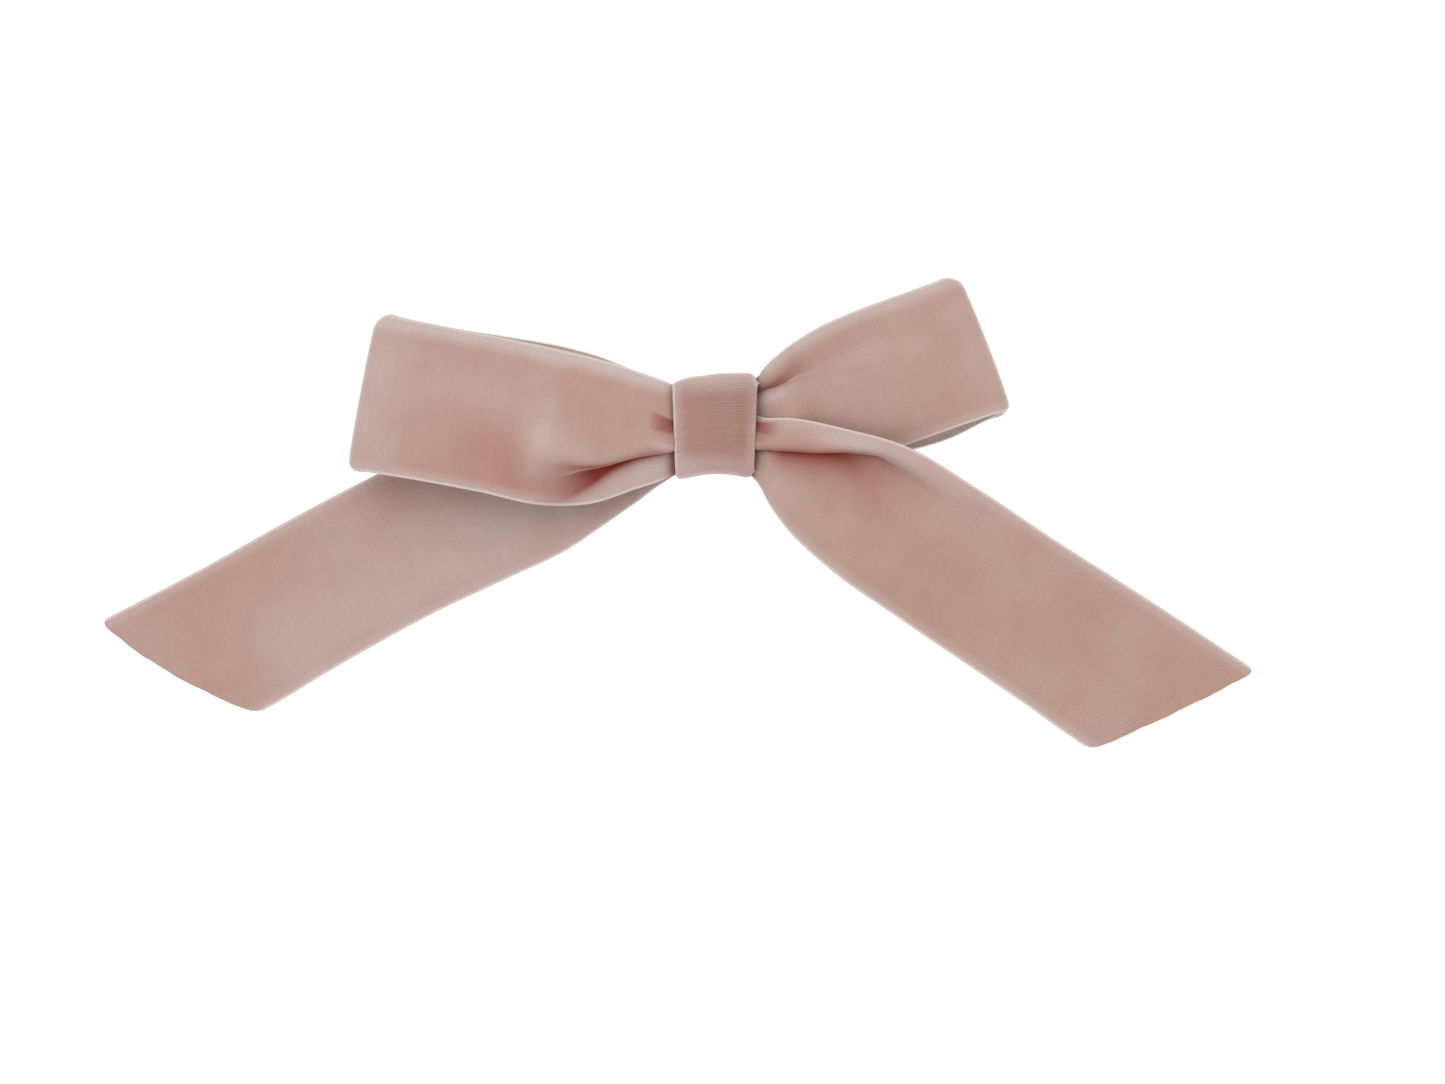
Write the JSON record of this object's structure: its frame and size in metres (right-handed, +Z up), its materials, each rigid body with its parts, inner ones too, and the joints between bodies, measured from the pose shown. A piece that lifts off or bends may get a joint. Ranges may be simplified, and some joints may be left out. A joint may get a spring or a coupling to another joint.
{
  "type": "hair barrette",
  "caption": "Velvet ribbon bow with two loops and two slanted tails on an automatic hair clip with a hinged closing arm.",
  "frame": {"origin": "centre of the space that holds the hair, between the clip's tension bow and its closing arm, straight behind the middle of the knot", "axes": "+X along the clip to the right as the bow is looked at, +Z up, +Y out of the back towards the head; the bow faces -Y"},
  "size_m": [0.1918, 0.0245, 0.0788],
  "materials": {
    "velvet": "dusty rose-brown velvet pile, ribbed reverse, pale selvedges",
    "thread": "twisted polyester thread",
    "glue": "translucent hot-melt glue",
    "nickel_plate": "bright nickel-plated stamped steel",
    "spring_steel": "plated spring steel"
  },
  "bodies": {
    "bow": {"front_ribbon": "velvet", "rear_ribbon": "velvet", "knot_band": "velvet", "waist_thread": "thread", "glue_pad": "glue", "top_bar": "nickel_plate", "hinge_pin": "nickel_plate", "tension_bow": "spring_steel", "catch_base": "spring_steel", "catch_rivet": "nickel_plate"},
    "arm": {"closing_arm": "nickel_plate"},
    "wing_upper": {"catch_wing_upper": "spring_steel"},
    "wing_lower": {"catch_wing_lower": "spring_steel"}
  },
  "joints": [
    {"name": "arm_hinge", "type": "hinge", "parent": "bow", "child": "arm", "pos_m": [-0.028, 0.0025, 0], "axis": [0, 0, 1], "range_deg": [0, 100]},
    {"name": "wing_upper_spring", "type": "hinge", "parent": "bow", "child": "wing_upper", "pos_m": [0.0273, -0.0026, 0.00178], "axis": [-1, 0, 0], "range_deg": [0, 8], "stiffness_Nm_per_rad": 0.02},
    {"name": "wing_lower_spring", "type": "hinge", "parent": "bow", "child": "wing_lower", "pos_m": [0.0273, -0.0026, -0.00178], "axis": [1, 0, 0], "range_deg": [0, 8], "stiffness_Nm_per_rad": 0.02}
  ]
}
